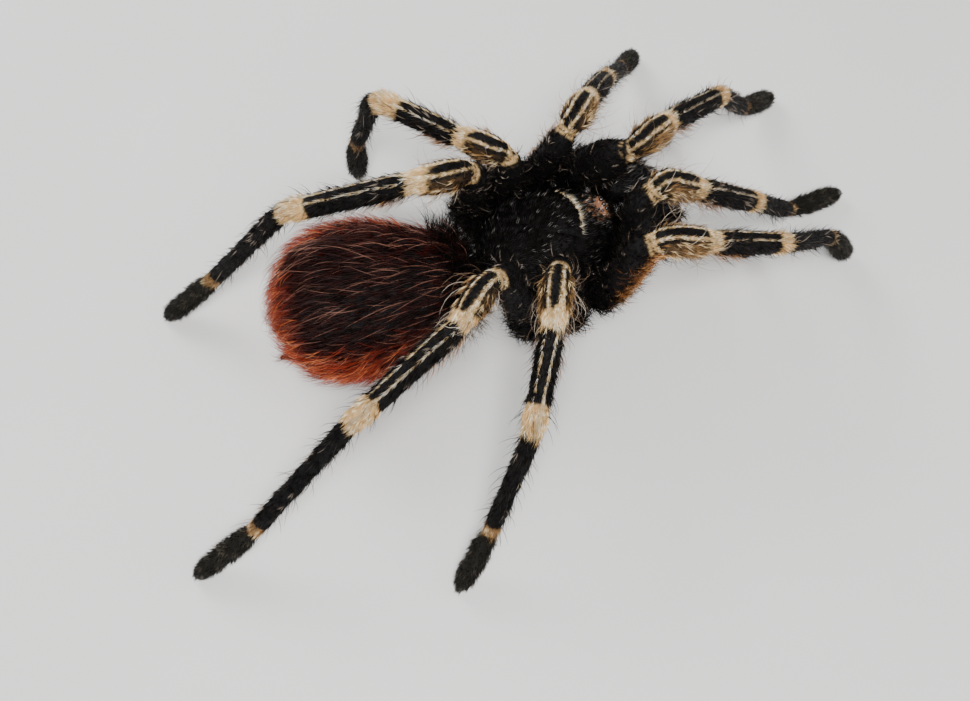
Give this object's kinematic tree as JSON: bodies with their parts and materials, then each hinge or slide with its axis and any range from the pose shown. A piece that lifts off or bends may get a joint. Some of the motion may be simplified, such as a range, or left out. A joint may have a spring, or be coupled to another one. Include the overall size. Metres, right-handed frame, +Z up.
{
  "type": "tarantula model",
  "caption": "Life-size still model of a black tarantula with cream-striped knees, banded legs and a red-haired abdomen, standing with its knees drawn up.",
  "frame": {"origin": "middle of the model's footprint, at floor level", "axes": "+Z up; -Y the way the head points; +X the animal's left"},
  "size_m": [0.079, 0.123, 0.0371],
  "materials": {
    "black_coat": "velvety short black hair with a few long grey-brown hairs",
    "knee_coat": "cream hair in two stripes along a dark back, with a pale rim",
    "banded_coat": "black hair with thin cream lines and a cream tuft at the far end",
    "foot_coat": "dense grey-black brush of fine hair",
    "abdomen_coat": "black plush under long curved red-brown hairs",
    "underside_coat": "short dark brown hair",
    "carapace_shell": "black shell under short velvety hair, with a pale crescent",
    "fangs": "glossy black",
    "eyes": "glossy dark amber beads on a pinkish mound"
  },
  "bodies": {
    "root": {"carapace": "carapace_shell", "eye_tubercle": "eyes", "sternum": "black_coat", "prosoma_core": "underside_coat", "pedicel": "underside_coat", "chelicera_left": "black_coat", "fang_left": "fangs", "chelicera_right": "black_coat", "fang_right": "fangs", "abdomen": "abdomen_coat", "spinneret_left": "underside_coat", "spinneret_right": "underside_coat", "leg_1_left_femur": "black_coat", "leg_1_left_patella": "knee_coat", "leg_1_left_tibia": "banded_coat", "leg_1_left_metatarsus": "banded_coat", "leg_1_left_tarsus": "foot_coat", "leg_1_right_femur": "black_coat", "leg_1_right_patella": "knee_coat", "leg_1_right_tibia": "banded_coat", "leg_1_right_metatarsus": "banded_coat", "leg_1_right_tarsus": "foot_coat", "leg_2_left_femur": "black_coat", "leg_2_left_patella": "knee_coat", "leg_2_left_tibia": "banded_coat", "leg_2_left_metatarsus": "banded_coat", "leg_2_left_tarsus": "foot_coat", "leg_2_right_femur": "black_coat", "leg_2_right_patella": "knee_coat", "leg_2_right_tibia": "banded_coat", "leg_2_right_metatarsus": "banded_coat", "leg_2_right_tarsus": "foot_coat", "leg_3_left_femur": "black_coat", "leg_3_left_patella": "knee_coat", "leg_3_left_tibia": "banded_coat", "leg_3_left_metatarsus": "banded_coat", "leg_3_left_tarsus": "foot_coat", "leg_3_right_femur": "black_coat", "leg_3_right_patella": "knee_coat", "leg_3_right_tibia": "banded_coat", "leg_3_right_metatarsus": "banded_coat", "leg_3_right_tarsus": "foot_coat", "leg_4_left_femur": "black_coat", "leg_4_left_patella": "knee_coat", "leg_4_left_tibia": "banded_coat", "leg_4_left_metatarsus": "banded_coat", "leg_4_left_tarsus": "foot_coat", "leg_4_right_femur": "black_coat", "leg_4_right_patella": "knee_coat", "leg_4_right_tibia": "banded_coat", "leg_4_right_metatarsus": "banded_coat", "leg_4_right_tarsus": "foot_coat", "palp_left_femur": "black_coat", "palp_left_patella": "knee_coat", "palp_left_tibia": "banded_coat", "palp_left_tarsus": "foot_coat", "palp_right_femur": "black_coat", "palp_right_patella": "knee_coat", "palp_right_tibia": "banded_coat", "palp_right_tarsus": "foot_coat"}
  },
  "joints": []
}
